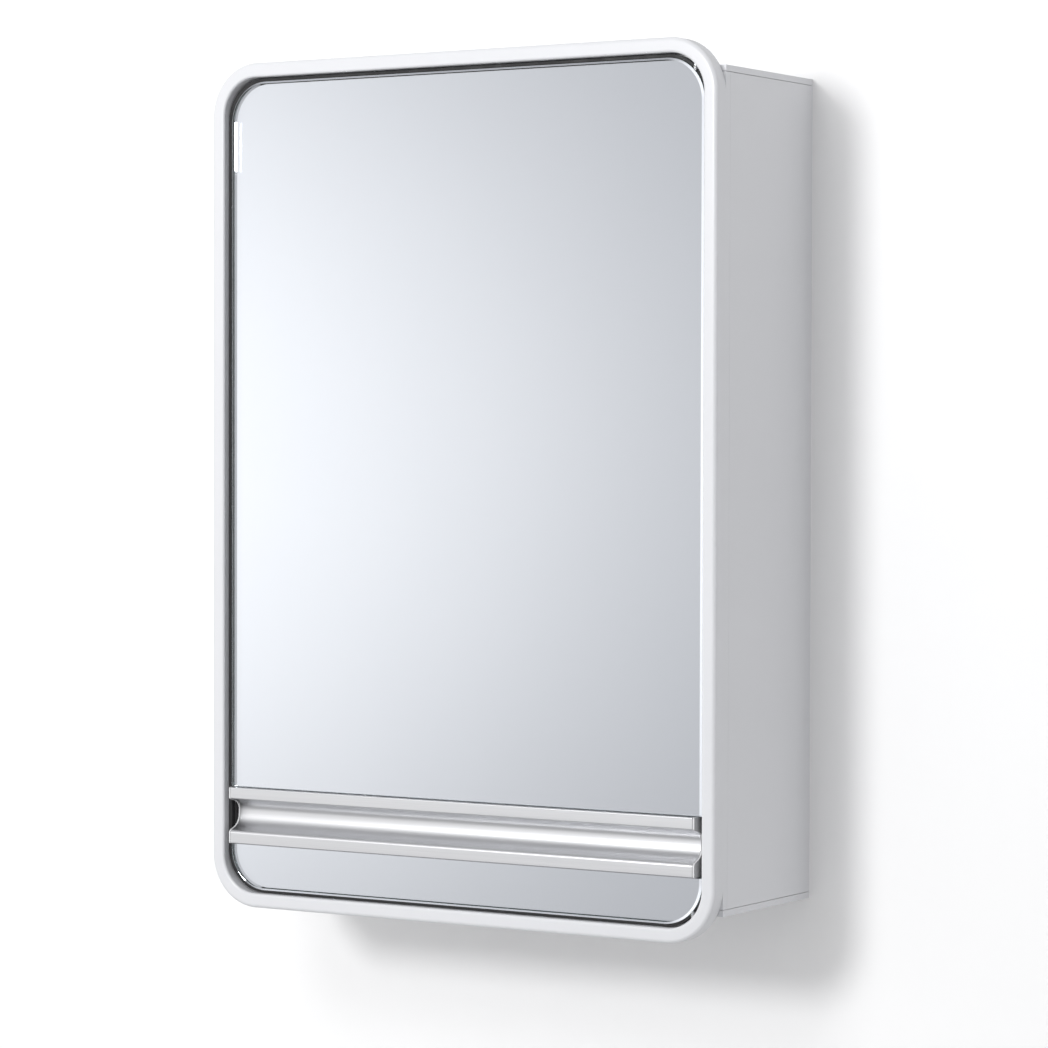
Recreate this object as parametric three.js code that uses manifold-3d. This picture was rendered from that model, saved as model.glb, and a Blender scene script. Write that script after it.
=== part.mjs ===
// Wall-hung medicine cabinet: a box with a rounded front frame, and an inset mirror door on two
// pivots at the right. Millimetres, +Z up, the front faces -Y. The origin is the centre of the
// back face, which lies against the wall.
import * as THREE from 'three';
import { mergeVertices } from 'three/addons/utils/BufferGeometryUtils.js';
import Module from 'manifold-3d';

const wasm = await Module();
wasm.setup();

// Driving dimensions
const WIDTH = 412;              // outside, frame and box
const HEIGHT = 600;             // outside, front frame
const DEPTH = 134;              // wall to the frame's front face
const BOX_HEIGHT = 562;         // the box behind the frame is lower than the frame
const WALL = 4.2;               // box panels
const GAP = 0.3;                // between pieces that touch
const CLEARANCE = 0.2;          // round a peg in its hole

const RING_DEPTH = 12;          // the rounded ring at the front
const RING_FACE = 10.2;          // width of its front face
const RING_RADIUS = 37;         // its outer corners, seen from the front
const RING_EDGE = 2.2;          // rounding of its front edges
const WEB = 0.8;                // thin wall that closes the ring above and below the box
const COLLAR_DEPTH = 6;         // square part of the frame, which meets the side panels
const COLLAR_WALL = 3;

const PANE_GAP = { left: 3.4, right: 1.8, top: 3, bottom: 2.2 };  // ring to glass
const PANE_TO_HANDLE = 0.4;
const PANE_INSET = 3.7;         // frame front to glass front
const PANE_THICKNESS = 5;
const PANE_RADIUS = 29;
const TRAY_BACK = 1;            // plate that the panes are bonded to
const TRAY_GAP = 0.5;           // ring to tray
const PANE_IN_TRAY = 0.4;       // room for the panes in it
const TRAY_LIP_INSET = 5.8;     // frame front to the lip's front edge
const TRAY_RADIUS = 30;

const HANDLE_TOP = -215;        // handle profile, heights from the cabinet's centre
const HANDLE_BOTTOM = -255.2;
const HANDLE_DEPTH = 15;
const HANDLE_PROUD = 0.3;       // in front of the frame
const HANDLE_HALF = 190.9;      // half its length, end caps included
const CAP_THICKNESS = 1.2;

const PIVOT_X = 188;            // the door's vertical axis
const PIVOT_Y = -130.5;
const PIN_RADIUS = 0.8;         // where it turns in a lug
const SHANK_RADIUS = 1.2;       // where it is held in the frame
const SHANK_BORE = 1.5;
const LUG_Z = 278.2;            // lower face of the upper hinge lug
const LUG_THICKNESS = 1.2;
const LUG_HALF = 1.5;
const EYE_CLEARANCE = 0.15;
const WASHER_RADIUS = 1.5;
const WASHER_THICKNESS = 0.4;

const SHELF_HEIGHTS = [-140, 0, 140];   // undersides of the glass shelves
const SHELF_THICKNESS = 5;
const SHELF_FRONT = -108;
const SHELF_BACK = -8;
const PEG_ROWS = { front: -94, back: -24 };
const PEG_RADIUS = 2.5;
const PEG_DEPTH = 3;
const PEG_REACH = 9;            // how far a peg stands out from the side panel
const SPOOL_RADIUS = 3;         // the groove that a shelf rests in
const FLANGE_RADIUS = 4.4;
const FLANGE_THICKNESS = 1.5;

const BACK_PANEL = 3;           // thickness
const HANGER_X = 150;
const HANGER_Z = 236;
const HANGER_HALF = 26;
const HANGER_PLATE = 2;         // thickness
const HANGER_CORNER = 4;
const HANGER_SCREW = 18;        // from the plate's centre, across and up
const HANGER_SCREW_RADIUS = 1.6;
const HANGER_HOLE = 1.9;
const KEYHOLE_SLOT = 2.5;       // radius of the keyhole's neck
const KEYHOLE_EYE = 5.5;        // radius of its eye, which passes a wall screw's head

const CATCH_HALF = 15;
const CATCH_WIDTH = 20;
const MAGNET_WIDTH = 8;
const MAGNET_HALF = 11;
const MAGNET_DEPTH = 10;
const STRIKE_THICKNESS = 1;

const RETAINER_X = 140;
const RETAINER_HALF = 12;
const RETAINER_PLATE = 1.5;
const RETAINER_FOOT = 15;       // how far its feet reach above and below the handle
const RETAINER_SCREW_RADIUS = 1.2;
const RETAINER_HOLE = 1.5;

const halfWidth = WIDTH / 2;
const halfHeight = HEIGHT / 2;
const halfBox = BOX_HEIGHT / 2;
const ringBack = -DEPTH + RING_DEPTH;
const collarBack = ringBack + COLLAR_DEPTH;
const apertureX = halfWidth - RING_FACE;
const apertureZ = halfHeight - RING_FACE;
const apertureRadius = RING_RADIUS - RING_FACE;
const innerZ = halfBox - WALL - GAP;          // top of the side panels and the collar
const doorwayX = apertureX - 0.5;
const pinTop = apertureZ - 0.5;
const doorwayZ = innerZ - COLLAR_WALL;
const paneX = [-apertureX + PANE_GAP.left, apertureX - PANE_GAP.right];
const paneZ = [-apertureZ + PANE_GAP.bottom, apertureZ - PANE_GAP.top];
const paneFront = -DEPTH + PANE_INSET;
const paneBack = paneFront + PANE_THICKNESS;
const trayX = apertureX - TRAY_GAP;
const trayZ = apertureZ - TRAY_GAP;
const trayFront = -DEPTH + TRAY_LIP_INSET;
const trayFloor = paneBack + GAP;
const trayBack = trayFloor + TRAY_BACK;
const handleFront = -DEPTH - HANDLE_PROUD;
const handleBack = handleFront + HANDLE_DEPTH;
const hangerFront = -BACK_PANEL - GAP - HANGER_PLATE;
const retainerFeet = [HANDLE_TOP + RETAINER_FOOT, HANDLE_BOTTOM - RETAINER_FOOT];
const catchX = [-doorwayX + GAP, -doorwayX + CATCH_WIDTH];
const magnetX = [catchX[0] + 6, catchX[0] + 6 + MAGNET_WIDTH];

const whiteGloss = new THREE.MeshStandardMaterial({ color: 0xf1f2f5, roughness: 0.22, metalness: 0 });
const blackPlastic = new THREE.MeshStandardMaterial({ color: 0x101113, roughness: 0.6, metalness: 0 });
const mirror = new THREE.MeshStandardMaterial({ color: 0xd4dade, roughness: 0.02, metalness: 1 });
const aluminium = new THREE.MeshStandardMaterial({ color: 0xc2c5ca, roughness: 0.35, metalness: 1 });
const steel = new THREE.MeshStandardMaterial({ color: 0xb4b7bb, roughness: 0.3, metalness: 1 });
const glass = new THREE.MeshStandardMaterial({ color: 0xcfe3dd, roughness: 0.03, metalness: 0 });
const nylon = new THREE.MeshStandardMaterial({ color: 0xe6e6e2, roughness: 0.5, metalness: 0 });

const cabinet = new THREE.Group();

function addPart(name, geometry, material, parent = cabinet) {
  const mesh = new THREE.Mesh(geometry, material);
  mesh.name = name;
  parent.add(mesh);
  return mesh;
}

// Solids

function toSolid(geometry) {
  const bare = geometry.clone();
  bare.deleteAttribute('normal');
  bare.deleteAttribute('uv');
  const merged = mergeVertices(bare, 1e-4);
  return new wasm.Manifold(new wasm.Mesh({
    numProp: 3,
    vertProperties: new Float32Array(merged.attributes.position.array),
    triVerts: new Uint32Array(merged.index.array),
  }));
}

function toGeometry(solid) {
  const mesh = solid.getMesh();
  const geometry = new THREE.BufferGeometry();
  geometry.setAttribute('position', new THREE.BufferAttribute(mesh.vertProperties, 3));
  geometry.setIndex(new THREE.BufferAttribute(mesh.triVerts, 1));
  geometry.computeVertexNormals();
  return geometry;
}

function cut(geometry, ...tools) {
  return toGeometry(tools.reduce((solid, tool) => solid.subtract(toSolid(tool)), toSolid(geometry)));
}

function join(...geometries) {
  return toGeometry(geometries.map(toSolid).reduce((all, solid) => all.add(solid)));
}

function block([x0, x1], [y0, y1], [z0, z1]) {
  const geometry = new THREE.BoxGeometry(x1 - x0, y1 - y0, z1 - z0);
  return geometry.translate((x0 + x1) / 2, (y0 + y1) / 2, (z0 + z1) / 2);
}

// A rectangle seen from the front, with its own radius for the lower and the upper corners.
function panel([x0, x1], [z0, z1], lower, upper = lower) {
  const shape = new THREE.Shape();
  shape.moveTo(x0 + lower, z0);
  shape.lineTo(x1 - lower, z0);
  if (lower > 0) shape.absarc(x1 - lower, z0 + lower, lower, -Math.PI / 2, 0);
  shape.lineTo(x1, z1 - upper);
  if (upper > 0) shape.absarc(x1 - upper, z1 - upper, upper, 0, Math.PI / 2);
  shape.lineTo(x0 + upper, z1);
  if (upper > 0) shape.absarc(x0 + upper, z1 - upper, upper, Math.PI / 2, Math.PI);
  shape.lineTo(x0, z0 + lower);
  if (lower > 0) shape.absarc(x0 + lower, z0 + lower, lower, Math.PI, 1.5 * Math.PI);
  return shape;
}

// Extrudes a front view from y = front back to y = back.
function slab(shape, front, back, options = {}) {
  const geometry = new THREE.ExtrudeGeometry(shape, {
    depth: back - front, bevelEnabled: false, curveSegments: 10, ...options,
  });
  return geometry.rotateX(Math.PI / 2).translate(0, back, 0);
}

// Extrudes a side view, drawn as (y, z), from x = left to x = right.
function bar(shape, left, right) {
  const geometry = new THREE.ExtrudeGeometry(shape, {
    depth: right - left, bevelEnabled: false, curveSegments: 12,
  });
  const toSideView = new THREE.Matrix4().makeBasis(
    new THREE.Vector3(0, 1, 0), new THREE.Vector3(0, 0, 1), new THREE.Vector3(1, 0, 0));
  return geometry.applyMatrix4(toSideView).translate(left, 0, 0);
}

// A cutter for a round hole along Z, half of its length on each side of z = 0.
function hole(radius, length) {
  return turned([[0, -length / 2], [radius, -length / 2], [radius, length / 2], [0, length / 2]], 12);
}

// Turns [radius, height] pairs about +Z.
function turned(pairs, segments = 16) {
  const points = pairs.map(([radius, height]) => new THREE.Vector2(radius, height));
  return new THREE.LatheGeometry(points, segments).rotateX(Math.PI / 2);
}

// The +Z axis of a turned piece laid along x or y.
function alongX(geometry, side) {
  return geometry.rotateY(side * Math.PI / 2);
}

function alongY(geometry, side) {
  return geometry.rotateX(-side * Math.PI / 2);
}

// Box

function frontFrame() {
  const outline = panel([-halfWidth, halfWidth], [-halfHeight, halfHeight], RING_RADIUS);
  outline.holes.push(panel([-apertureX, apertureX], [-apertureZ, apertureZ], apertureRadius));
  const edge = RING_EDGE;
  const ring = slab(outline, -DEPTH + edge, ringBack + edge, {
    bevelEnabled: true, bevelThickness: edge, bevelSize: edge, bevelOffset: -edge, bevelSegments: 3,
  });
  const behindRing = block([-WIDTH, WIDTH], [ringBack, 0], [-HEIGHT, HEIGHT]);
  const overlap = 2;            // how far the web and the collar run into the ring
  const web = slab(
    panel([-apertureX - overlap, apertureX + overlap], [-apertureZ - overlap, apertureZ + overlap],
      apertureRadius + overlap),
    ringBack - WEB, ringBack + overlap);
  const collar = block([-halfWidth, halfWidth], [ringBack - WEB / 2, collarBack], [-innerZ, innerZ]);
  const doorway = block([-doorwayX, doorwayX], [-DEPTH, 0], [-doorwayZ, doorwayZ]);
  const beyondBox = [1, -1].map((side) => block([-WIDTH, WIDTH], [ringBack, 0],
    side > 0 ? [innerZ, HEIGHT] : [-HEIGHT, -innerZ]));
  const boreDepth = 20;         // from inside the aperture up into the ring, open below only
  const bores = [1, -1].map((side) => hole(SHANK_BORE, boreDepth)
    .translate(PIVOT_X, PIVOT_Y, side * (pinTop + GAP - boreDepth / 2)));
  const body = join(cut(ring, behindRing), web, collar);
  return cut(body, doorway, ...beyondBox, ...bores);
}

function sidePanel(side) {
  const [inner, outer] = [halfWidth - WALL, halfWidth];
  const plate = block(side > 0 ? [inner, outer] : [-outer, -inner], [collarBack + GAP, 0],
    [-innerZ, innerZ]);
  const holes = pegPlaces().map(({ y, z }) => alongX(
    hole(PEG_RADIUS + CLEARANCE, 2 * (PEG_DEPTH + CLEARANCE)), side)
    .translate(side * inner, y, z));
  return cut(plate, ...holes);
}

function pegPlaces() {
  return SHELF_HEIGHTS.flatMap((height, level) => Object.entries(PEG_ROWS).map(([row, y]) => (
    { level: level + 1, row, y, z: height - SPOOL_RADIUS - GAP })));
}

function backPanel() {
  const half = halfWidth - WALL - GAP;
  const window = HANGER_HALF / 2;
  const plate = block([-half, half], [-BACK_PANEL, 0], [-innerZ, innerZ]);
  const windows = [1, -1].map((side) => block(
    [side * HANGER_X - window, side * HANGER_X + window], [-BACK_PANEL - 1, 1],
    [HANGER_Z - window, HANGER_Z + window]));
  const holes = hangerScrewPlaces().map(({ x, z }) => alongY(hole(HANGER_HOLE, 4 * BACK_PANEL), 1)
    .translate(x, 0, z));
  return cut(plate, ...windows, ...holes);
}

function hangerScrewPlaces() {
  return [['left', -1], ['right', 1]].flatMap(([hand, side]) => [['top', 1], ['bottom', -1]].map(
    ([level, up]) => ({
      name: `${hand}_${level}`, x: side * HANGER_X + up * HANGER_SCREW, z: HANGER_Z + up * HANGER_SCREW,
    })));
}

function hangerPlate(side) {
  const x = side * HANGER_X;
  const shape = panel([x - HANGER_HALF, x + HANGER_HALF],
    [HANGER_Z - HANGER_HALF, HANGER_Z + HANGER_HALF], HANGER_CORNER);
  const neck = Math.acos(KEYHOLE_SLOT / KEYHOLE_EYE);
  const keyhole = new THREE.Path();
  keyhole.absarc(x, HANGER_Z + 8, KEYHOLE_SLOT, Math.PI, 0, true);
  keyhole.absarc(x, HANGER_Z - 5, KEYHOLE_EYE, neck, Math.PI - neck, true);
  keyhole.closePath();
  shape.holes.push(keyhole);
  const plate = slab(shape, hangerFront, hangerFront + HANGER_PLATE);
  const holes = [1, -1].map((up) => alongY(hole(HANGER_HOLE, 4 * HANGER_PLATE), 1)
    .translate(x + up * HANGER_SCREW, hangerFront, HANGER_Z + up * HANGER_SCREW));
  return cut(plate, ...holes);
}

// A pan-head screw whose head sits on z = 0 and whose shank runs to z = -length.
function screw(radius, length, headRadius, headHeight) {
  return turned([
    [0, -length], [radius, -length], [radius, 0], [headRadius, 0], [headRadius, headHeight * 0.5],
    [headRadius * 0.8, headHeight], [0, headHeight],
  ], 14);
}

addPart('front_frame', frontFrame(), whiteGloss);
addPart('side_panel_left', sidePanel(-1), whiteGloss);
addPart('side_panel_right', sidePanel(1), whiteGloss);
addPart('top_panel', block([-halfWidth, halfWidth], [ringBack + GAP, 0], [halfBox - WALL, halfBox]),
  whiteGloss);
addPart('bottom_panel', block([-halfWidth, halfWidth], [ringBack + GAP, 0], [-halfBox, -halfBox + WALL]),
  whiteGloss);
addPart('back_panel', backPanel(), whiteGloss);
addPart('hanger_plate_left', hangerPlate(-1), steel);
addPart('hanger_plate_right', hangerPlate(1), steel);
for (const { name, x, z } of hangerScrewPlaces()) {
  addPart(`hanger_screw_${name}`, alongY(screw(HANGER_SCREW_RADIUS, 5, 3.4, 2), -1), steel)
    .position.set(x, hangerFront - GAP, z);
}

// Shelves and their pegs

const shelfX = halfWidth - WALL - GAP - FLANGE_THICKNESS - 0.4;
SHELF_HEIGHTS.forEach((height, level) => {
  addPart(`glass_shelf_${level + 1}`, block([-shelfX, shelfX], [SHELF_FRONT, SHELF_BACK],
    [height, height + SHELF_THICKNESS]), glass);
});
for (const { level, row, y, z } of pegPlaces()) {
  for (const [hand, side] of [['left', -1], ['right', 1]]) {
    const flange = -GAP - FLANGE_THICKNESS;
    const peg = turned([
      [0, -PEG_REACH], [SPOOL_RADIUS - 0.6, -PEG_REACH], [SPOOL_RADIUS, -PEG_REACH + 0.6],
      [SPOOL_RADIUS, flange], [FLANGE_RADIUS, flange], [FLANGE_RADIUS, -GAP], [PEG_RADIUS, -GAP],
      [PEG_RADIUS, PEG_DEPTH - 0.5], [PEG_RADIUS - 0.5, PEG_DEPTH], [0, PEG_DEPTH],
    ], 14);
    addPart(`shelf_peg_${level}_${row}_${hand}`, alongX(peg, side), nylon)
      .position.set(side * (halfWidth - WALL), y, z);
  }
}

// Magnetic catch, on the collar opposite the pivots

const magnetY = [collarBack - 6, collarBack - 6 + MAGNET_DEPTH];
const catchHousing = cut(
  block(catchX, [magnetY[0] + 0.8, magnetY[1] + 2.7], [-CATCH_HALF, CATCH_HALF]),
  block([magnetX[0] - GAP, magnetX[1] + GAP], [magnetY[0] - GAP, magnetY[1] + GAP],
    [-MAGNET_HALF - GAP, MAGNET_HALF + GAP]));
addPart('catch_housing', catchHousing, nylon);
addPart('catch_magnet', block(magnetX, magnetY, [-MAGNET_HALF, MAGNET_HALF]), steel);

// Door: panes, tray and handle profile

function doorTray() {
  const outer = slab(panel([-trayX, trayX], [-trayZ, trayZ], TRAY_RADIUS), trayFront, trayBack);
  const room = PANE_IN_TRAY;
  const pocket = slab(panel([paneX[0] - room, paneX[1] + room], [paneZ[0] - room, paneZ[1] + room],
    PANE_RADIUS + room), trayFront - 1, trayFloor);
  const slot = block([-HANDLE_HALF - room, HANDLE_HALF + room], [trayFront - 1, trayBack + 1],
    [HANDLE_BOTTOM - 0.5, HANDLE_TOP + 0.5]);
  const notch = [LUG_Z - GAP, LUG_Z + LUG_THICKNESS + GAP];
  const notches = [1, -1].map((side) => block([PIVOT_X - LUG_HALF - 0.5, WIDTH],
    [trayFront - 1, trayFloor], notch.map((z) => side * z).sort((a, b) => a - b)));
  const holes = retainerScrewPlaces().map(({ x, z }) => alongY(hole(RETAINER_HOLE, 4 * TRAY_BACK), 1)
    .translate(x, trayFloor, z));
  return cut(outer, pocket, slot, ...notches, ...holes);
}

// The handle's side view: a rib, a finger groove that cuts in under it and slopes out again,
// and a second rib. Depths are from the ribs' front faces.
function handleOutline() {
  const y = (depth) => handleFront + depth;
  const shape = new THREE.Shape();
  shape.moveTo(y(HANDLE_DEPTH), HANDLE_TOP);
  shape.lineTo(y(0.8), HANDLE_TOP);
  shape.quadraticCurveTo(y(0), HANDLE_TOP, y(0), HANDLE_TOP - 0.8);
  shape.lineTo(y(0), HANDLE_TOP - 7.4);
  shape.quadraticCurveTo(y(0), HANDLE_TOP - 8.1, y(0.9), HANDLE_TOP - 8.3);
  shape.lineTo(y(5.5), HANDLE_TOP - 9.6);
  shape.bezierCurveTo(y(10.2), HANDLE_TOP - 11, y(12), HANDLE_TOP - 13.4, y(12), HANDLE_TOP - 17);
  shape.bezierCurveTo(y(12), HANDLE_TOP - 23, y(10.5), HANDLE_TOP - 27.5, y(3.4), HANDLE_TOP - 29.8);
  shape.bezierCurveTo(y(1.4), HANDLE_TOP - 30.5, y(0), HANDLE_TOP - 31.2, y(0), HANDLE_TOP - 33);
  shape.lineTo(y(0), HANDLE_BOTTOM + 0.8);
  shape.quadraticCurveTo(y(0), HANDLE_BOTTOM, y(0.8), HANDLE_BOTTOM);
  shape.lineTo(y(HANDLE_DEPTH), HANDLE_BOTTOM);
  return shape;
}

// A hollow chamber of the extrusion, given as [depth, distance below the top] pairs.
function chamber(pairs) {
  const path = new THREE.Path();
  pairs.forEach(([depth, down], index) => {
    const [y, z] = [handleFront + depth, HANDLE_TOP - down];
    if (index === 0) path.moveTo(y, z);
    else path.lineTo(y, z);
  });
  return path;
}

function handleProfile() {
  const outline = handleOutline();
  outline.holes.push(
    chamber([[1.8, 1.8], [13.2, 1.8], [13.2, 10.4], [9.4, 9.4], [1.8, 6.6]]),
    chamber([[13.4, 27], [13.4, 38.4], [1.8, 38.4], [1.8, 33.8], [8.5, 30.6], [11.6, 27.6]]));
  const half = HANDLE_HALF - CAP_THICKNESS - GAP;
  return bar(outline, -half, half);
}

function retainerScrewPlaces() {
  return [['left', -1], ['right', 1]].flatMap(([hand, side]) => [
    { name: `${hand}_top`, x: side * RETAINER_X, z: retainerFeet[0] - 6 },
    { name: `${hand}_bottom`, x: side * RETAINER_X, z: retainerFeet[1] + 6 },
  ]);
}

// A hat-shaped bracket that clamps the handle profile to the back of the tray.
function handleRetainer(side) {
  const leg = trayBack + GAP;
  const crown = handleBack + GAP;
  const [upper, lower] = [HANDLE_TOP + 1, HANDLE_BOTTOM - 1];
  const shape = new THREE.Shape([
    [leg, retainerFeet[0]], [leg, upper], [crown, upper], [crown, lower], [leg, lower],
    [leg, retainerFeet[1]], [leg + RETAINER_PLATE, retainerFeet[1]],
    [leg + RETAINER_PLATE, lower - RETAINER_PLATE], [crown + RETAINER_PLATE, lower - RETAINER_PLATE],
    [crown + RETAINER_PLATE, upper + RETAINER_PLATE], [leg + RETAINER_PLATE, upper + RETAINER_PLATE],
    [leg + RETAINER_PLATE, retainerFeet[0]],
  ].map(([y, z]) => new THREE.Vector2(y, z)));
  const x = side * RETAINER_X;
  const holes = retainerScrewPlaces().filter((place) => place.x === x).map(({ z }) => alongY(
    hole(RETAINER_HOLE, 4 * RETAINER_PLATE), 1).translate(x, leg, z));
  return cut(bar(shape, x - RETAINER_HALF, x + RETAINER_HALF), ...holes);
}

// A lug in a notch of the tray's lip, with an eye round the pivot pin.
function hingeLug() {
  const shape = new THREE.Shape();
  shape.moveTo(PIVOT_X - LUG_HALF, trayFloor - GAP);
  shape.lineTo(PIVOT_X - LUG_HALF, PIVOT_Y);
  shape.absarc(PIVOT_X, PIVOT_Y, LUG_HALF, Math.PI, 2 * Math.PI);
  shape.lineTo(PIVOT_X + LUG_HALF, trayFloor - GAP);
  const eye = new THREE.Path();
  eye.absarc(PIVOT_X, PIVOT_Y, PIN_RADIUS + EYE_CLEARANCE, 0, 2 * Math.PI, true);
  shape.holes.push(eye);
  return new THREE.ExtrudeGeometry(shape, {
    depth: LUG_THICKNESS, bevelEnabled: false, curveSegments: 12,
  });
}

addPart('door_tray', doorTray(), blackPlastic);
const upperZ = [HANDLE_TOP + PANE_TO_HANDLE, paneZ[1]];
const lowerZ = [paneZ[0], HANDLE_BOTTOM - PANE_TO_HANDLE];
addPart('mirror_upper', slab(panel(paneX, upperZ, 0, PANE_RADIUS), paneFront, paneBack), mirror);
addPart('mirror_lower', slab(panel(paneX, lowerZ, PANE_RADIUS, 0), paneFront, paneBack), mirror);
addPart('handle_profile', handleProfile(), aluminium);
for (const [hand, side] of [['left', -1], ['right', 1]]) {
  const ends = [side * (HANDLE_HALF - CAP_THICKNESS), side * HANDLE_HALF].sort((a, b) => a - b);
  addPart(`handle_end_cap_${hand}`, bar(handleOutline(), ...ends), aluminium);
  addPart(`handle_retainer_${hand}`, handleRetainer(side), steel);
}
for (const { name, x, z } of retainerScrewPlaces()) {
  addPart(`retainer_screw_${name}`, alongY(screw(RETAINER_SCREW_RADIUS, 2.6, 2.8, 1.6), 1), steel)
    .position.set(x, trayBack + 2 * GAP + RETAINER_PLATE, z);
}
addPart('strike_plate', block([magnetX[0] - 3, magnetX[1] + 3],
  [trayBack + GAP, trayBack + GAP + STRIKE_THICKNESS], [-CATCH_HALF, CATCH_HALF]), steel);

// Pivots: a stepped screw in the frame, a washer and a lug, above and below

for (const [level, side] of [['top', 1], ['bottom', -1]]) {
  const lugTop = LUG_Z + LUG_THICKNESS;
  const washerFoot = lugTop + CLEARANCE;
  const washerTop = washerFoot + WASHER_THICKNESS;
  const shankFoot = washerTop + GAP;
  const bore = PIN_RADIUS + EYE_CLEARANCE;
  const flip = (geometry) => (side > 0 ? geometry : geometry.rotateX(Math.PI));
  const pin = flip(turned([
    [0, LUG_Z - 0.8], [PIN_RADIUS, LUG_Z - 0.8], [PIN_RADIUS, shankFoot], [SHANK_RADIUS, shankFoot],
    [SHANK_RADIUS, pinTop], [0, pinTop],
  ]));
  addPart(`pivot_pin_${level}`, pin, steel).position.set(PIVOT_X, PIVOT_Y, 0);
  const washer = flip(turned([
    [bore, washerFoot], [WASHER_RADIUS, washerFoot], [WASHER_RADIUS, washerTop], [bore, washerTop],
    [bore, washerFoot],
  ]));
  addPart(`pivot_washer_${level}`, washer, nylon).position.set(PIVOT_X, PIVOT_Y, 0);
  addPart(`hinge_lug_${level}`, hingeLug(), steel)
    .position.z = side > 0 ? LUG_Z : -lugTop;
}

export default cabinet;
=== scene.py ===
"""Wall-hung medicine cabinet: a white box with a rounded front frame, and an inset mirror door with a
satin aluminium grip rail. Lengths are in metres, in the CAD frame: +Z up, and the front faces -Y."""

import math

import bmesh
import bpy
from mathutils import Matrix, Vector


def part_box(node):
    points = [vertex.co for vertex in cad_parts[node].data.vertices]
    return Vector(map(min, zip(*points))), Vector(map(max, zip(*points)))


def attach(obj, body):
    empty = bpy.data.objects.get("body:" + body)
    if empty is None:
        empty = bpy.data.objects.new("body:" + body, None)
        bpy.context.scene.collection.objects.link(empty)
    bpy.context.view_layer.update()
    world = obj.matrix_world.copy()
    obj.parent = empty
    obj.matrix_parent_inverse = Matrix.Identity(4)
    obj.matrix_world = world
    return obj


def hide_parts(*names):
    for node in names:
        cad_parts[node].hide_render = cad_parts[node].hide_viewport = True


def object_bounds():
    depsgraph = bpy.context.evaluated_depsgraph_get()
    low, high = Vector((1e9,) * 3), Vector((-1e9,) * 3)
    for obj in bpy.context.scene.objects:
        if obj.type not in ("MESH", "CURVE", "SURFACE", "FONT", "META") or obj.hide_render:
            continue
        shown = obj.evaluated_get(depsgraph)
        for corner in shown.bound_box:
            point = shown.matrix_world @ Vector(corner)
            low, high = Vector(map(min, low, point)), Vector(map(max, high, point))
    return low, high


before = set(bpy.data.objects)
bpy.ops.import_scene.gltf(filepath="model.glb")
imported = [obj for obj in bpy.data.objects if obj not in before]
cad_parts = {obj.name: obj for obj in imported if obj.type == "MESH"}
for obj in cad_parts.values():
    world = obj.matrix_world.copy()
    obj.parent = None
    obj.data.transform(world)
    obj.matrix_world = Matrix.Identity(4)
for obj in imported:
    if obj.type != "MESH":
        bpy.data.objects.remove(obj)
cad_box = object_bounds()

MM = 0.001
UP = Vector((0, 0, 1))
CABINET = "cabinet"
DOOR = "door"
SIDES = (("left", -1), ("right", 1))
LEVELS = (("top", 1), ("bottom", -1))


# Materials

class Nodes:
    """A node tree, with short calls for the nodes that the materials below share."""

    def __init__(self, tree, space="Object"):
        self.tree = tree
        self.coordinates = tree.nodes.new("ShaderNodeTexCoord").outputs[space]

    def add(self, kind, inputs=None, **settings):
        node = self.tree.nodes.new(kind)
        for key, value in settings.items():
            setattr(node, key, value)
        for key, value in (inputs or {}).items():
            self.feed(node.inputs[key], value)
        return node

    def feed(self, socket, value):
        if isinstance(value, bpy.types.NodeSocket):
            self.tree.links.new(value, socket)
        else:
            socket.default_value = value

    def stretched(self, scale):
        """Object coordinates, scaled by its own factor along each axis."""
        return self.add("ShaderNodeMapping", {"Vector": self.coordinates, "Scale": scale}).outputs[0]

    def noise(self, scale, detail=2.0, vector=None):
        """Noise from 0 to 1, with scale features to the metre."""
        inputs = {"Vector": vector or self.coordinates, "Scale": scale, "Detail": detail}
        return self.add("ShaderNodeTexNoise", inputs).outputs["Fac"]

    def between(self, factor, low, high, start=0.3, end=0.7):
        """A number from low to high as the factor goes from start to end."""
        inputs = {"Value": factor, "From Min": start, "From Max": end, "To Min": low, "To Max": high}
        return self.add("ShaderNodeMapRange", inputs).outputs[0]

    def blend(self, factor, low, high, start=0.3, end=0.7):
        """A colour from low to high as the factor goes from start to end."""
        ramp = self.add("ShaderNodeValToRGB", {"Fac": factor})
        for stop, place, colour in zip(ramp.color_ramp.elements, (start, end), (low, high)):
            stop.position = place
            stop.color = (*colour, 1)
        return ramp.outputs["Color"]

    def bump(self, height, depth, normal=None):
        inputs = {"Height": height, "Distance": depth, "Strength": 1.0}
        if normal:
            inputs["Normal"] = normal
        return self.add("ShaderNodeBump", inputs).outputs["Normal"]


def material(name, detail=None, **sockets):
    """A Principled material. detail(nodes) gives the sockets that vary over the surface."""
    result = bpy.data.materials.new(name)
    result.use_nodes = True
    nodes = Nodes(result.node_tree)
    shader = result.node_tree.nodes["Principled BSDF"]
    varied = detail(nodes) if detail else {}
    for key, value in {**sockets, **varied}.items():
        nodes.feed(shader.inputs[key.replace("_", " ")], value)
    return result


def white_detail(nodes):
    """Moulded gloss: a faint drift of tone, and the shallow ripple of a polished tool."""
    ripple = nodes.bump(nodes.noise(60, 1.0), 0.004 * MM)
    return {
        "Base_Color": nodes.blend(nodes.noise(9), (0.69, 0.697, 0.72), (0.70, 0.707, 0.73)),
        "Roughness": nodes.between(nodes.noise(60, 3.0), 0.3, 0.34),
        "Normal": nodes.bump(nodes.noise(3200, 3.0), 0.001 * MM, ripple),
    }


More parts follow.
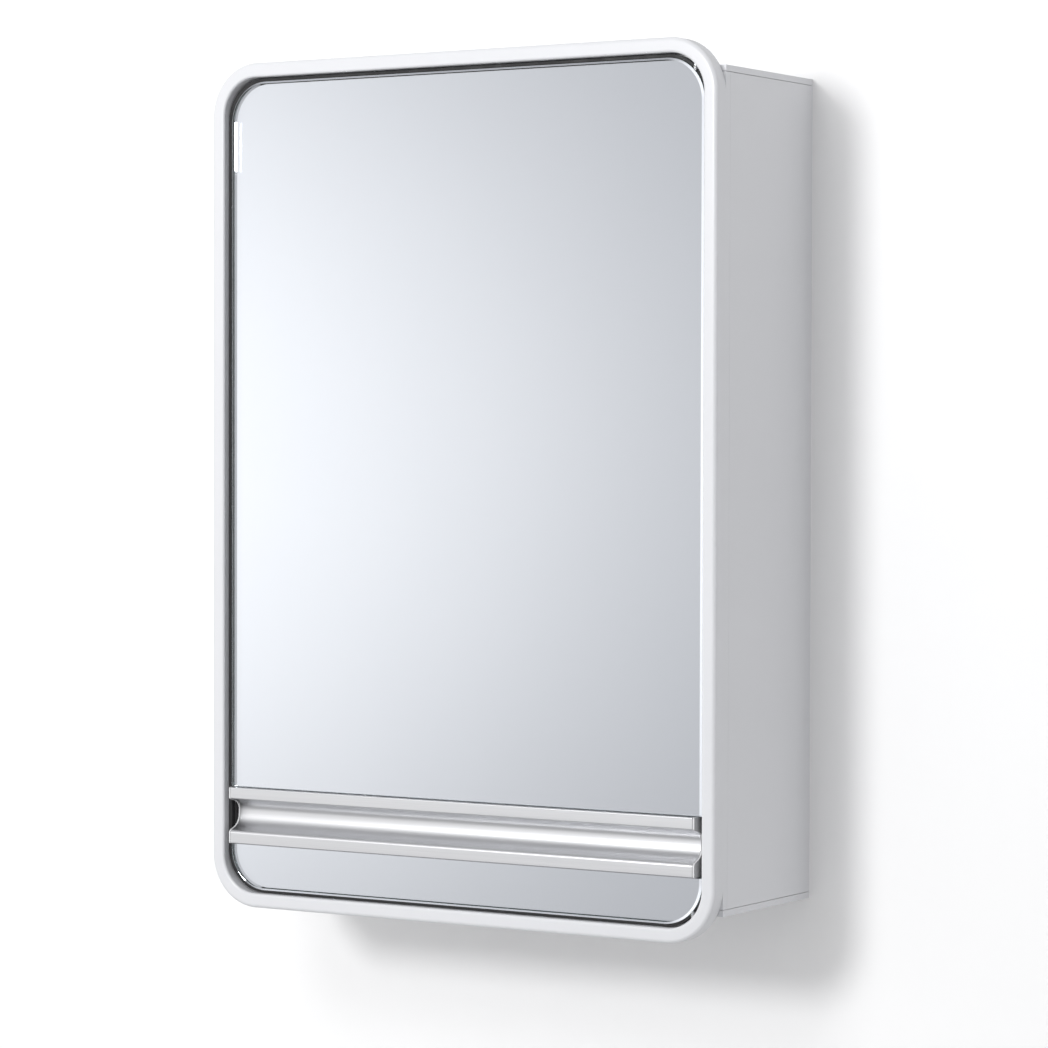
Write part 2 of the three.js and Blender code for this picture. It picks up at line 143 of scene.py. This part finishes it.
def black_detail(nodes):
    """Matt spark-eroded grain."""
    grain = nodes.noise(2600, 4.0)
    return {
        "Base_Color": nodes.blend(grain, (0.008, 0.008, 0.009), (0.018, 0.018, 0.02)),
        "Roughness": nodes.between(nodes.noise(90, 3.0), 0.5, 0.66),
        "Normal": nodes.bump(grain, 0.03 * MM),
    }


def aluminium_detail(nodes):
    """Satin anodising over die lines, which run along the extrusion."""
    lines = nodes.noise(1, 5.0, nodes.stretched((6, 2600, 2600)))
    fine = nodes.noise(1, 3.0, nodes.stretched((40, 9000, 9000)))
    return {
        "Base_Color": nodes.blend(lines, (0.69, 0.695, 0.715), (0.75, 0.755, 0.77)),
        "Roughness": nodes.between(fine, 0.34, 0.42),
        "Normal": nodes.bump(lines, 0.006 * MM, nodes.bump(fine, 0.002 * MM)),
    }


def blasted_detail(nodes):
    """Bead-blasted end caps."""
    grain = nodes.noise(3000, 4.0)
    return {
        "Base_Color": nodes.blend(grain, (0.66, 0.665, 0.68), (0.74, 0.745, 0.755)),
        "Roughness": nodes.between(grain, 0.55, 0.7),
        "Normal": nodes.bump(grain, 0.02 * MM),
    }


def steel_detail(nodes):
    """Zinc plate, with its cloudy spangle and fine rolling marks."""
    cloud = nodes.noise(420, 4.0)
    marks = nodes.noise(1, 3.0, nodes.stretched((5000, 5000, 120)))
    return {
        "Base_Color": nodes.blend(cloud, (0.50, 0.51, 0.53), (0.68, 0.69, 0.70)),
        "Roughness": nodes.between(cloud, 0.26, 0.42),
        "Normal": nodes.bump(marks, 0.008 * MM),
    }


def magnet_detail(nodes):
    """Sintered ferrite."""
    grain = nodes.noise(1800, 5.0)
    return {
        "Base_Color": nodes.blend(grain, (0.035, 0.036, 0.04), (0.075, 0.075, 0.08)),
        "Roughness": nodes.between(grain, 0.4, 0.6),
        "Normal": nodes.bump(grain, 0.04 * MM),
    }


def nylon_detail(nodes):
    """Natural nylon, slightly cloudy."""
    cloud = nodes.noise(700, 3.0)
    return {
        "Base_Color": nodes.blend(cloud, (0.72, 0.72, 0.68), (0.82, 0.82, 0.79)),
        "Roughness": nodes.between(cloud, 0.38, 0.5),
        "Normal": nodes.bump(nodes.noise(2400, 2.0), 0.01 * MM),
    }


def glass_detail(nodes):
    """Polished float glass, flat but for a trace of roller wave."""
    wave = nodes.noise(1, 0.0, nodes.stretched((9, 9, 14)))
    return {
        "Base_Color": nodes.blend(nodes.noise(6), (0.975, 0.988, 0.985), (0.98, 0.992, 0.988)),
        "Normal": nodes.bump(wave, 0.004 * MM),
    }


def glass_edge_detail(nodes):
    """The sawn and smoothed edge of the glass, where its green shows."""
    marks = nodes.noise(1, 4.0, nodes.stretched((4000, 300, 4000)))
    return {
        "Base_Color": nodes.blend(marks, (0.48, 0.60, 0.58), (0.58, 0.70, 0.68)),
        "Roughness": nodes.between(marks, 0.2, 0.38),
        "Normal": nodes.bump(marks, 0.01 * MM),
    }


def silver_with_painted_reflection_tint(nodes):
    """Silvering on the back of the glass. Its blue tint is a painted reflection that stands in for the
    bluish room the mirror reflects.
    """
    return {
        "Base_Color": nodes.blend(nodes.noise(5), (0.83, 0.85, 0.91), (0.84, 0.86, 0.92)),
        "Roughness": nodes.between(nodes.noise(30, 3.0), 0.0, 0.012),
    }


WHITE = material("white_gloss", white_detail, Coat_Weight=0.15, Coat_Roughness=0.15)
BLACK = material("black_plastic", black_detail)
ALUMINIUM = material("satin_aluminium", aluminium_detail, Metallic=1.0)
BLASTED = material("blasted_aluminium", blasted_detail, Metallic=0.15)
STEEL = material("zinc_plated_steel", steel_detail, Metallic=1.0)
MAGNET = material("ferrite_magnet", magnet_detail, Metallic=0.3)
NYLON = material("nylon", nylon_detail, Subsurface_Weight=0.15)
GLASS = material("float_glass", glass_detail, Roughness=0.0, IOR=1.52, Transmission_Weight=1.0)
GLASS_EDGE = material("glass_edge", glass_edge_detail, IOR=1.52, Transmission_Weight=0.45)
# The silver's blue tint is a painted reflection of a bluish room, not the colour of the silvering.
SILVER = material("mirror_silver_painted_reflection_tint", silver_with_painted_reflection_tint, Metallic=1.0)


# Mesh building

def piece(name, mesh, materials, body, replaced=(), sharp=40):
    """Finishes a mesh: normals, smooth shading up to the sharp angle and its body."""
    obj = bpy.data.objects.new(name, mesh)
    bpy.context.scene.collection.objects.link(obj)
    if not mesh.materials:
        for entry in materials:
            mesh.materials.append(entry)
    mesh.polygons.foreach_set("use_smooth", [True] * len(mesh.polygons))
    mesh.set_sharp_from_angle(angle=math.radians(sharp))
    weighted = obj.modifiers.new("weighted_normals", "WEIGHTED_NORMAL")
    weighted.keep_sharp = True
    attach(obj, body)
    if replaced:
        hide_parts(*replaced)
    return obj


def mesh_from(name, points, faces, indices=None):
    """A closed mesh with its faces pointing out. indices gives each face its material."""
    mesh = bpy.data.meshes.new(name)
    mesh.from_pydata([tuple(p) for p in points], [], faces)
    if indices:
        mesh.polygons.foreach_set("material_index", indices)
    work = bmesh.new()
    work.from_mesh(mesh)
    bmesh.ops.recalc_face_normals(work, faces=work.faces)
    work.to_mesh(mesh)
    work.free()
    return mesh


def loft(name, loops, indices=None, closed=False):
    """Skins loops of equally many points. A closed loft joins its last loop to its first, and an
    open one gets two flat ends. indices gives a material to each band, then to the two ends."""
    count = len(loops[0])
    points = [point for loop in loops for point in loop]
    bands = len(loops) if closed else len(loops) - 1
    faces, marks = [], []
    for band in range(bands):
        here, there = band * count, (band + 1) % len(loops) * count
        for i in range(count):
            j = (i + 1) % count
            faces.append((here + i, here + j, there + j, there + i))
            marks.append(indices[band] if indices else 0)
    if not closed:
        faces.append(tuple(range(count)))
        faces.append(tuple(range((len(loops) - 1) * count, len(loops) * count)))
        marks += indices[-2:] if indices else [0, 0]
    return mesh_from(name, points, faces, marks)


def outline(low, high, radii, steps=20):
    """(x, z) points round a rectangle seen from the front, with radii = (lower, upper) corners."""
    lower, upper = (max(r, 0.01 * MM) for r in radii)
    corners = (
        (high[0] - lower, low[1] + lower, lower, -90), (high[0] - upper, high[1] - upper, upper, 0),
        (low[0] + upper, high[1] - upper, upper, 90), (low[0] + lower, low[1] + lower, lower, 180),
    )
    points = []
    for x, z, radius, start in corners:
        for step in range(steps + 1):
            angle = math.radians(start + 90 * step / steps)
            points.append((x + radius * math.cos(angle), z + radius * math.sin(angle)))
    return points


def inset_loop(low, high, radii, inset, y, steps=20):
    """The outline moved in by inset, as 3-D points at depth y."""
    low = (low[0] + inset, low[1] + inset)
    high = (high[0] - inset, high[1] - inset)
    return [(x, y, z) for x, z in outline(low, high, [r - inset for r in radii], steps)]


def arc(centre, radius, start, end, steps=6):
    """Points on an arc, with its angles in degrees."""
    angles = [math.radians(start + (end - start) * i / steps) for i in range(steps + 1)]
    return [(centre[0] + radius * math.cos(a), centre[1] + radius * math.sin(a)) for a in angles]


AXIS = 0.01 * MM                 # radius that closes a turned piece on its axis


def turned(name, profile, place, axis, segments=48, closed=False):
    """Turns (radius, height) pairs about an axis through place."""
    turn = UP.rotation_difference(Vector(axis)).to_matrix()
    loops = []
    for radius, height in profile:
        angles = [math.tau * i / segments for i in range(segments)]
        loops.append([Vector(place) + turn @ Vector((radius * math.cos(a), radius * math.sin(a), height))
                      for a in angles])
    return loft(name, loops, closed=closed)


def eased(node, width, segments=2):
    """The mesh of a CAD node with its sharp edges rounded off."""
    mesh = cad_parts[node].data.copy()
    mesh.materials.clear()
    work = bmesh.new()
    work.from_mesh(mesh)
    bmesh.ops.remove_doubles(work, verts=work.verts, dist=0.001 * MM)
    bmesh.ops.dissolve_limit(work, angle_limit=math.radians(1), verts=work.verts, edges=work.edges)
    sharp = [edge for edge in work.edges
             if len(edge.link_faces) == 2 and edge.calc_face_angle() > math.radians(40)]
    bmesh.ops.bevel(work, geom=sharp, offset=width, segments=segments, profile=0.5, affect="EDGES",
                    clamp_overlap=True)
    bmesh.ops.recalc_face_normals(work, faces=work.faces)
    work.to_mesh(mesh)
    work.free()
    return mesh


def ease_nodes(nodes, width, look, body):
    for node in nodes:
        piece(f"{node}_fine", eased(node, width), [look], body, [node])


# Box

RING_FACE = 10.2 * MM
RING_RADIUS = 37 * MM
OUTER_EDGE = 2.8 * MM             # rounding of the ring's front edges
INNER_EDGE = 1.8 * MM
RING_BACK = 12 * MM              # from the frame's front face
COLLAR_WALL = 3 * MM
COLLAR_EDGE = 0.06 * MM
COLLAR_TONGUE = 0.28 * MM        # how far it reaches into the joint, just under the surface
WEB = 0.8 * MM
DOORWAY_EDGE = 0.5 * MM          # how far the doorway is narrower than the ring's opening


def doorway_loop(x, z, y, like):
    """The rectangular doorway, with a point for each of an outline's points."""
    points = [[max(-x, min(x, px)), y, max(-z, min(z, pz))] for px, _, pz in like]
    for corner in ((x, z), (x, -z), (-x, z), (-x, -z)):
        nearest = min(points, key=lambda p: math.hypot(p[0] - corner[0], p[2] - corner[1]))
        nearest[0], nearest[2] = corner
    return points


def front_frame():
    low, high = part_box("front_frame")
    front, ring_back, collar_back = low.y, low.y + RING_BACK, high.y
    corner_low, corner_high = (low.x, low.z), (high.x, high.z)
    radii = (RING_RADIUS, RING_RADIUS)
    outer = arc((OUTER_EDGE, front + OUTER_EDGE), OUTER_EDGE, 180, 270)
    inner = arc((RING_FACE - INNER_EDGE, front + INNER_EDGE), INNER_EDGE, 270, 360)
    profile = [(0, ring_back), *outer, *inner, (RING_FACE, ring_back - WEB)]
    loops = [inset_loop(corner_low, corner_high, radii, inset, y, 28) for inset, y in profile]
    panel_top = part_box("side_panel_right")[1].z
    doorway = (high.x - RING_FACE - DOORWAY_EDGE, panel_top - COLLAR_WALL)
    loops.append(doorway_loop(*doorway, ring_back - WEB, loops[-1]))
    loops.append(doorway_loop(*doorway, ring_back, loops[-2]))
    piece("front_frame_ring", loft("ring", loops, closed=True), [WHITE], CABINET,
          ["front_frame"])
    edge = COLLAR_EDGE
    tongue = collar_back + COLLAR_TONGUE
    collar = [(0, ring_back), (0, collar_back - edge), (edge, collar_back), (edge, tongue)]
    square = (low.x, -panel_top), (high.x, panel_top), (0, 0)
    loops = [inset_loop(*square, inset, y, 1) for inset, y in collar]
    hole = (-doorway[0], -doorway[1]), doorway, (0, 0)
    loops += [inset_loop(*hole, inset, y, 1) for inset, y in
              ((-edge, tongue), (-edge, collar_back), (0, collar_back - edge), (0, ring_back))]
    piece("front_frame_collar", loft("collar", loops, closed=True), [WHITE], CABINET,
          ["front_frame"])


front_frame()
ease_nodes(["side_panel_left", "side_panel_right", "top_panel", "bottom_panel", "back_panel"],
           0.08 * MM, WHITE, CABINET)
ease_nodes(["hanger_plate_left", "hanger_plate_right"], 0.25 * MM, STEEL, CABINET)
ease_nodes(["catch_housing"], 0.6 * MM, NYLON, CABINET)
ease_nodes(["catch_magnet"], 0.3 * MM, MAGNET, CABINET)


# Screws, pegs and pivots

def screw_mesh(name, centre, facing, head_radius, head_height, shank_radius, length):
    """A pan-head screw with a cross recess. facing is the way its head looks along y."""
    dome = arc((0, 0), 1.0, 0, 80, 8)
    profile = [(AXIS, -length), (0.7 * shank_radius, -length), (shank_radius, -0.8 * length),
               (shank_radius, 0), (head_radius, 0)]
    profile += [(head_radius * x, 0.25 * head_height + 0.75 * head_height * z) for x, z in dome]
    profile.append((AXIS, head_height))
    blank = bpy.data.objects.new(name, turned(name, profile, centre, (0, facing, 0)))
    arm, thickness, depth = 0.55 * head_radius, 0.2 * head_radius, 0.6 * head_height
    top = centre[1] + facing * head_height
    cutters = []
    for width, height in ((arm, thickness), (thickness, arm)):
        loops = [[(centre[0] + x * scale, y, centre[2] + z * scale)
                  for x, z in ((-width, -height), (width, -height), (width, height), (-width, height))]
                 for y, scale in ((top - facing * depth, 0.5), (top + facing * depth, 1.3))]
        cutters.append(bpy.data.objects.new("cutter", loft("cutter", loops)))
    for obj in (blank, *cutters):
        bpy.context.scene.collection.objects.link(obj)
    for cutter in cutters:
        cut = blank.modifiers.new("recess", "BOOLEAN")
        cut.operation = "DIFFERENCE"
        cut.object = cutter
    bpy.context.view_layer.update()
    evaluated = blank.evaluated_get(bpy.context.evaluated_depsgraph_get())
    mesh = bpy.data.meshes.new_from_object(evaluated)
    for obj in (blank, *cutters):
        bpy.data.objects.remove(obj)
    return mesh


# Facing along y, head radius and height, shank radius and length, and the body that each is in
SCREWS = {
    "hanger_screw": (-1, (3.4 * MM, 2.0 * MM), (1.6 * MM, 5.0 * MM), CABINET),
    "retainer_screw": (1, (2.8 * MM, 1.6 * MM), (1.2 * MM, 2.6 * MM), DOOR),
}


def screws():
    for hand, _ in SIDES:
        for level, _ in LEVELS:
            for stem, (facing, head, shank, body) in SCREWS.items():
                node = f"{stem}_{hand}_{level}"
                low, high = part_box(node)
                seat = high.y - shank[1] if facing < 0 else low.y + shank[1]
                centre = ((low.x + high.x) / 2, seat, (low.z + high.z) / 2)
                mesh = screw_mesh(node, centre, facing, *head, *shank)
                piece(f"{node}_fine", mesh, [STEEL], body, [node], sharp=35)


PEG_HOLE_DEPTH = 3 * MM

# A peg's radii and heights in millimetres, from inside the cabinet into the side panel
PEG_PROFILE = [
    (0.01, -9), (2.2, -9), (2.7, -8.8), (2.95, -8.4), (3, -7.9), (3, -1.8), (4.1, -1.8), (4.35, -1.7),
    (4.4, -1.5), (4.4, -0.6), (4.3, -0.35), (4.1, -0.3), (2.5, -0.3), (2.5, 2.5), (2.3, 2.85), (2.0, 3),
    (0.01, 3)]


def pegs():
    """Spool pegs: a shank in the side panel, a flange, and a groove that the shelf rests in."""
    for node in sorted(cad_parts):
        if not node.startswith("shelf_peg"):
            continue
        low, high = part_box(node)
        side = 1 if low.x > 0 else -1
        wall = high.x - PEG_HOLE_DEPTH if side > 0 else low.x + PEG_HOLE_DEPTH
        centre = (wall, (low.y + high.y) / 2, (low.z + high.z) / 2)
        profile = [(radius * MM, height * MM) for radius, height in PEG_PROFILE]
        mesh = turned(node, profile, centre, (side, 0, 0))
        piece(f"{node}_fine", mesh, [NYLON], CABINET, [node])


PIN_RADIUS = 0.8 * MM            # where it turns in a lug
WASHER_BORE = 0.95 * MM
PIVOT_CHAMFER = 0.12 * MM
SHOULDER_GAP = 0.3 * MM          # from the washer to the pin's shoulder


def pivots():
    for level, up in LEVELS:
        pin = f"pivot_pin_{level}"
        low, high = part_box(pin)
        centre = ((low.x + high.x) / 2, (low.y + high.y) / 2, low.z if up > 0 else high.z)
        length = high.z - low.z
        washer = f"pivot_washer_{level}"
        ring_low, ring_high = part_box(washer)
        shoulder = abs((ring_high.z if up > 0 else ring_low.z) - centre[2]) + SHOULDER_GAP
        chamfer = PIVOT_CHAMFER
        thin, thick = PIN_RADIUS, (high.x - low.x) / 2
        profile = [(AXIS, 0), (thin - chamfer, 0), (thin, chamfer), (thin, shoulder),
                   (thick - chamfer, shoulder), (thick, shoulder + chamfer), (thick, length - chamfer),
                   (thick - chamfer, length), (AXIS, length)]
        piece(f"{pin}_fine", turned(pin, profile, centre, (0, 0, up)), [STEEL], CABINET, [pin])
        bore, rim = WASHER_BORE, (ring_high.x - ring_low.x) / 2
        height = ring_high.z - ring_low.z
        foot = (centre[0], centre[1], ring_low.z if up > 0 else ring_high.z)
        ring = [(bore, 0), (rim - chamfer, 0), (rim, chamfer), (rim, height - chamfer),
                (rim - chamfer, height), (bore, height)]
        mesh = turned(washer, ring, foot, (0, 0, up), closed=True)
        piece(f"{washer}_fine", mesh, [NYLON], CABINET, [washer])


screws()
pegs()
pivots()


# Glass

SHELF_ARRIS = 0.7 * MM           # ground-off corner of a glass edge
PANE_ARRIS = 1.4 * MM
PANE_BACK_ARRIS = 0.5 * MM
SQUARE_SHARE = 0.9               # how much of the arris is left off along the grip rail


def pane(node, radii, body, looks, indices):
    """A sheet of glass facing -Y with arrised edges, all but square along the grip rail. looks are
    its materials, and indices their places: front arris, edge, back arris, then front and back."""
    low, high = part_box(node)
    levels = ((PANE_ARRIS, low.y), (0, low.y + PANE_ARRIS), (0, high.y - PANE_BACK_ARRIS),
              (PANE_BACK_ARRIS, high.y))
    loops = []
    for inset, y in levels:
        kept = [SQUARE_SHARE * inset if radius == 0 else 0 for radius in radii]
        corners = (low.x, low.z - kept[0]), (high.x, high.z + kept[1])
        loops.append(inset_loop(*corners, radii, inset, y, 24))
    mesh = loft(node, loops, indices)
    return piece(f"{node}_fine", mesh, looks, body, [node], sharp=20)


def shelf(node):
    """A sheet of glass lying flat, with the same arris along its long and short edges."""
    low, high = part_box(node)
    levels = ((SHELF_ARRIS, low.z), (0, low.z + SHELF_ARRIS), (0, high.z - SHELF_ARRIS),
              (SHELF_ARRIS, high.z))
    loops = []
    for inset, z in levels:
        corner_low, corner_high = (low.x, low.y), (high.x, high.y)
        corner = inset_loop(corner_low, corner_high, (2 * MM, 2 * MM), inset, 0, 6)
        loops.append([(x, y, z) for x, _, y in corner])
    mesh = loft(node, loops, [0, 1, 0, 0, 0])
    return piece(f"{node}_fine", mesh, [GLASS, GLASS_EDGE], CABINET, [node], sharp=20)


PANE_RADIUS = 29 * MM
MIRROR_LOOKS = [GLASS, GLASS_EDGE, SILVER]
MIRROR_INDICES = [0, 1, 2, 0, 2]
pane("mirror_upper", (0, PANE_RADIUS), DOOR, MIRROR_LOOKS, MIRROR_INDICES)
pane("mirror_lower", (PANE_RADIUS, 0), DOOR, MIRROR_LOOKS, MIRROR_INDICES)
for number in (1, 2, 3):
    shelf(f"glass_shelf_{number}")


# Door

def bezier(start, first, second, end, steps=14):
    points = []
    for i in range(1, steps + 1):
        t = i / steps
        weights = ((1 - t) ** 3, 3 * t * (1 - t) ** 2, 3 * t * t * (1 - t), t ** 3)
        points.append(tuple(sum(w * p[k] for w, p in zip(weights, (start, first, second, end)))
                            for k in (0, 1)))
    return points


def handle_outline(low, high):
    """The rail's side view as (y, z): a rib, an undercut finger groove that slopes out again, and a
    second rib. Written in millimetres from the ribs' front face and down from the top."""
    deep = (high.y - low.y) / MM
    tall = (high.z - low.z) / MM
    edge = 0.8
    points = [(deep, 0), *arc((edge, edge), edge, 270, 180)]
    points += [(0, 7.4), *bezier((0, 7.4), (0, 8), (0.3, 8.2), (0.9, 8.3), 6), (5.5, 9.6)]
    points += bezier((5.5, 9.6), (10.2, 11), (12, 13.4), (12, 17))
    points += bezier((12, 17), (12, 23), (10.5, 27.5), (3.4, 29.8))
    points += bezier((3.4, 29.8), (1.4, 30.5), (0, 31.2), (0, 33))
    points += arc((edge, tall - edge), edge, 180, 90)
    points.append((deep, tall))
    return [(low.y + depth * MM, high.z - down * MM) for depth, down in points]


def handle():
    low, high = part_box("handle_profile")
    section = handle_outline(low, high)
    loops = [[(x, y, z) for y, z in section] for x in (low.x, high.x)]
    piece("handle_profile_fine", loft("handle", loops), [ALUMINIUM], DOOR,
          ["handle_profile"], sharp=50)
    for hand, _ in SIDES:
        node = f"handle_end_cap_{hand}"
        low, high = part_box(node)
        section = handle_outline(low, high)
        middle = Vector((0, (low.y + high.y) / 2, (low.z + high.z) / 2))
        loops = []
        for x, shrink in ((low.x, 0.985), (low.x + 0.2 * MM, 1), (high.x - 0.2 * MM, 1), (high.x, 0.985)):
            loops.append([(x, middle.y + (y - middle.y) * shrink, middle.z + (z - middle.z) * shrink)
                          for y, z in section])
        piece(f"{node}_fine", loft(node, loops), [BLASTED], DOOR, [node], sharp=50)


handle()
ease_nodes(["door_tray"], 0.25 * MM, BLACK, DOOR)
ease_nodes([f"handle_retainer_{hand}" for hand, _ in SIDES], 0.25 * MM, STEEL, DOOR)
ease_nodes(["strike_plate"], 0.2 * MM, STEEL, DOOR)
ease_nodes([f"hinge_lug_{level}" for level, _ in LEVELS], 0.2 * MM, STEEL, DOOR)


# Camera

FRONT = Vector((0, cad_box[0][1], 0))
AZIMUTH = math.radians(32.19)
ELEVATION = math.radians(1.44)
ROLL = math.radians(0.13)
ASIDE, BELOW, AWAY = 0.04882, 0.02405, 2.54073      # from the middle of the front
back = Vector((math.sin(AZIMUTH) * math.cos(ELEVATION), -math.cos(AZIMUTH) * math.cos(ELEVATION),
               math.sin(ELEVATION)))
level = Vector((math.cos(AZIMUTH), math.sin(AZIMUTH), 0))
upright = back.cross(level)
right = level * math.cos(ROLL) + upright * math.sin(ROLL)
top = upright * math.cos(ROLL) - level * math.sin(ROLL)
camera = bpy.data.objects.new("camera", bpy.data.cameras.new("camera"))
camera.data.lens = 127.29
camera.data.sensor_width = 36
camera.matrix_world = Matrix.Translation(FRONT + right * ASIDE - top * BELOW + back * AWAY) \
    @ Matrix((right, top, back)).transposed().to_4x4()
bpy.context.scene.collection.objects.link(camera)
bpy.context.scene.camera = camera


# Stage and light

def stage_plane(name, centre, across, up, size, look):
    """A flat stage piece, whose face looks along across x up."""
    corners = ((-1, -1), (1, -1), (1, 1), (-1, 1))
    points = [centre + across * size[0] / 2 * i + up * size[1] / 2 * j for i, j in corners]
    mesh = bpy.data.meshes.new(name)
    mesh.from_pydata([tuple(p) for p in points], [], [(0, 1, 2, 3)])
    mesh.materials.append(look)
    obj = bpy.data.objects.new(name, mesh)
    bpy.context.scene.collection.objects.link(obj)
    return obj


CLOSE = 5 * MM                   # rays shorter than this pass through the wall
WALL_GAP = 0.5 * MM
FLOOR_HEIGHT = -1.4


def wall_material():
    """Pale plaster. It is clear from behind and for rays that start against it, so that it neither
    hides nor darkens the cabinet's back."""
    result = material("wall", lambda nodes: {"Base_Color": nodes.blend(
        nodes.noise(3), (0.945, 0.945, 0.947), (0.955, 0.955, 0.957))}, Roughness=0.9)
    tree = result.node_tree
    nodes = Nodes(tree)
    close = nodes.add("ShaderNodeMath", {
        0: nodes.add("ShaderNodeLightPath").outputs["Ray Length"], 1: CLOSE}, operation="LESS_THAN")
    unseen = nodes.add("ShaderNodeMath", {
        0: nodes.add("ShaderNodeNewGeometry").outputs["Backfacing"], 1: close.outputs[0]},
        operation="MAXIMUM")
    mix = nodes.add("ShaderNodeMixShader", {
        0: unseen.outputs[0],
        1: tree.nodes["Principled BSDF"].outputs[0],
        2: nodes.add("ShaderNodeBsdfTransparent").outputs[0],
    })
    tree.links.new(mix.outputs[0], tree.nodes["Material Output"].inputs["Surface"])
    return result


GLOW_FALLOFF = 2.9               # higher is a flatter patch with a sharper edge
GLOW_CARD_SIZE = 5               # card size over patch size


def glow_material(width, height, strength):
    """A soft patch of light that fades out towards its edges."""
    result = bpy.data.materials.new("glow")
    result.use_nodes = True
    tree = result.node_tree
    tree.nodes.clear()
    nodes = Nodes(tree)
    scaled = nodes.stretched((1 / width, 1, 1 / height))
    distance = nodes.add("ShaderNodeVectorMath", {0: scaled}, operation="LENGTH").outputs["Value"]
    power = nodes.add("ShaderNodeMath", {0: distance, 1: GLOW_FALLOFF}, operation="POWER").outputs[0]
    fade = nodes.add("ShaderNodeMath", {0: 1 / math.e, 1: power}, operation="POWER").outputs[0]
    lamp = nodes.add("ShaderNodeEmission", {
        "Color": (1.0, 0.995, 0.97, 1),
        "Strength": nodes.add("ShaderNodeMath", {0: fade, 1: strength}, operation="MULTIPLY").outputs[0]})
    clear = nodes.add("ShaderNodeBsdfTransparent")
    both = nodes.add("ShaderNodeAddShader", {0: lamp.outputs[0], 1: clear.outputs[0]})
    output = nodes.add("ShaderNodeOutputMaterial")
    tree.links.new(both.outputs[0], output.inputs["Surface"])
    return result


def direction(azimuth, elevation):
    """The way out from the wall, azimuth to the viewer's right and elevation up, in degrees."""
    a, e = math.radians(azimuth), math.radians(elevation)
    return Vector((math.sin(a) * math.cos(e), -math.cos(a) * math.cos(e), math.sin(e)))


def glow_card(azimuth, elevation, distance, width, height, strength):
    """A card whose patch of light fills the left of the mirror. It is only seen by reflection."""
    outward = direction(azimuth, elevation)
    across = UP.cross(outward).normalized()
    mirror_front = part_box("mirror_upper")[0].y
    eye = camera.matrix_world.translation
    eye_in_mirror = Vector((eye.x, 2 * mirror_front - eye.y, eye.z))
    obj = stage_plane("glow_card", Vector(), Vector((-1, 0, 0)), UP,
                      (GLOW_CARD_SIZE * width, GLOW_CARD_SIZE * height),
                      glow_material(width, height, strength))
    turn = Matrix((across, -outward, UP)).transposed()
    turn.col[2] = across.cross(-outward)
    obj.matrix_world = Matrix.Translation(eye_in_mirror + outward * distance) @ turn.to_4x4()
    obj.visible_camera = False
    obj.visible_shadow = False


def area_light(name, azimuth, elevation, distance, size, power, colour=(1, 1, 1)):
    lamp = bpy.data.lights.new(name, "AREA")
    lamp.shape = "DISK"
    lamp.size = size
    lamp.energy = power
    lamp.color = colour
    obj = bpy.data.objects.new(name, lamp)
    outward = direction(azimuth, elevation)
    obj.location = outward * distance
    obj.rotation_euler = outward.to_track_quat("Z", "Y").to_euler()
    bpy.context.scene.collection.objects.link(obj)
    return obj


def world_light(colour, below, above):
    """An even room, slightly brighter overhead than underfoot."""
    world = bpy.data.worlds.new("studio")
    world.use_nodes = True
    nodes = Nodes(world.node_tree, "Generated")
    height = nodes.add("ShaderNodeSeparateXYZ", {"Vector": nodes.coordinates}).outputs["Z"]
    background = world.node_tree.nodes["Background"]
    background.inputs["Color"].default_value = (*colour, 1)
    nodes.feed(background.inputs["Strength"], nodes.between(height, below, above, -0.6, 0.6))
    bpy.context.scene.world = world


wall = stage_plane("wall", Vector((0, cad_box[1][1] + WALL_GAP, 0)), Vector((1, 0, 0)), UP, (12, 9),
                   wall_material())
wall.visible_glossy = False
floor_look = material("floor", lambda nodes: {"Base_Color": nodes.blend(
    nodes.noise(3), (0.62, 0.62, 0.62), (0.65, 0.65, 0.65))}, Roughness=0.7)
floor = stage_plane("floor", Vector((0, -2, FLOOR_HEIGHT)), Vector((1, 0, 0)), Vector((0, 1, 0)), (12, 12),
                    floor_look)
floor.visible_glossy = False
floor.visible_transmission = False
glow_card(-43.3, -0.4, 4.9, 1.05, 0.76, 0.76)
area_light("key", -12, 14, 3.0, 0.65, 36)
fill = area_light("fill", -2, 26, 1.5, 0.5, 4)
fill.visible_glossy = False
fill.visible_transmission = False
world_light((1.0, 1.0, 1.01), 0.42, 0.66)
bpy.context.scene.view_settings.view_transform = "Standard"
